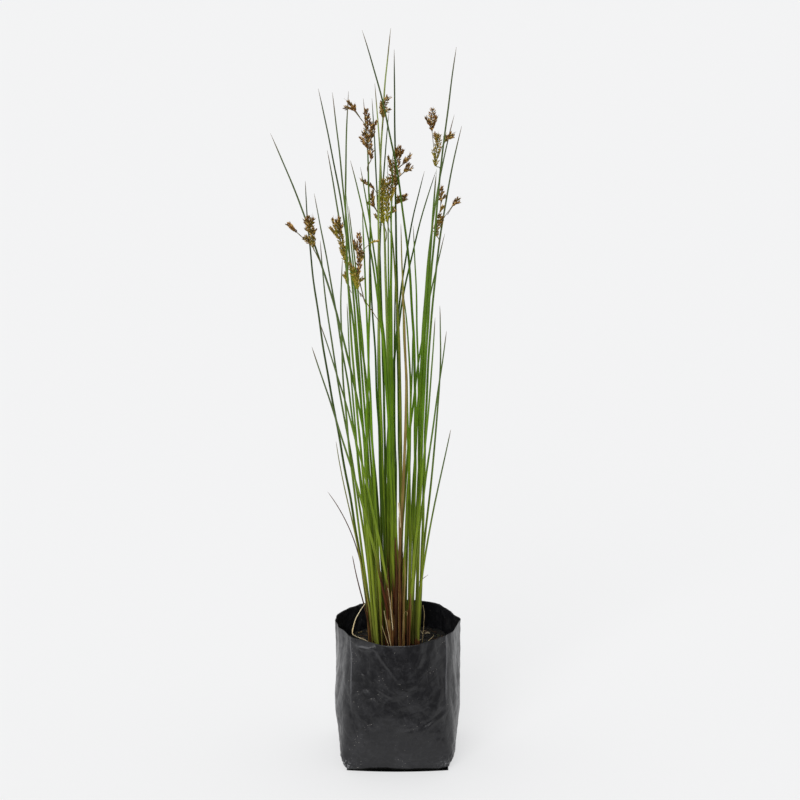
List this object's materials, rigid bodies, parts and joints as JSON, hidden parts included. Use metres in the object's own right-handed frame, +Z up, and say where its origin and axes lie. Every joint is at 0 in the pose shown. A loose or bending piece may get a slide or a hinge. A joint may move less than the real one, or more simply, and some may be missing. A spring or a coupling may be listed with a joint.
{
  "type": "potted rush",
  "caption": "Tall clump of round green rush stems with brown flower clusters, in soil in a square-based black plastic-film planter bag.",
  "frame": {"origin": "middle of the planter bag's flat base, on the surface that it stands on", "axes": "+Z up, the view from the front looks along +Y, +X to the right"},
  "size_m": [0.1799, 0.1402, 0.723],
  "materials": {
    "film": "black polythene film, satin, softly crinkled",
    "soil": "damp dark potting mix with fibres and crumbs",
    "stem": "smooth green rush stem with fine lengthwise ribs",
    "dry_stem": "dry straw, matt",
    "flower": "dry brown flowers, matt"
  },
  "bodies": {
    "root": {"planter_bag": "film", "potting_soil": "soil", "stem_left_1": "stem", "stem_left_2": "stem", "stem_left_3": "stem", "stem_left_4": "stem", "stem_left_5": "stem", "stem_left_6": "stem", "stem_left_7": "stem", "stem_inner_left_1": "stem", "stem_inner_left_2": "stem", "stem_inner_left_3": "stem", "stem_inner_left_4": "stem", "stem_inner_left_5": "stem", "stem_inner_left_6": "stem", "stem_inner_left_7": "stem", "stem_inner_left_8": "stem", "stem_inner_left_9": "stem", "stem_centre_1": "stem", "stem_centre_2": "stem", "stem_centre_3": "stem", "stem_centre_4": "stem", "stem_centre_5": "stem", "stem_centre_6": "stem", "stem_centre_7": "stem", "stem_right_1": "stem", "stem_right_2": "stem", "stem_right_3": "stem", "stem_right_4": "stem", "stem_right_5": "stem", "stem_right_6": "stem", "stem_right_7": "stem", "stem_right_8": "stem", "stem_right_9": "stem", "stem_right_10": "stem", "stem_right_11": "stem", "stem_right_12": "stem", "stem_right_13": "stem", "stem_inner_1": "stem", "stem_inner_2": "stem", "stem_inner_3": "stem", "stem_inner_4": "stem", "stem_inner_5": "stem", "stem_inner_6": "stem", "stem_inner_7": "stem", "dead_stem": "dry_stem", "dry_shoot_1": "dry_stem", "dry_shoot_2": "dry_stem", "dry_shoot_3": "dry_stem", "dead_leaf": "dry_stem", "flower_cluster_1": "flower", "flower_cluster_2": "flower", "flower_cluster_3": "flower", "flower_cluster_4": "flower", "flower_cluster_5": "flower", "flower_cluster_6": "flower", "flower_cluster_7": "flower", "flower_cluster_8": "flower", "flower_cluster_9": "flower"}
  },
  "joints": []
}
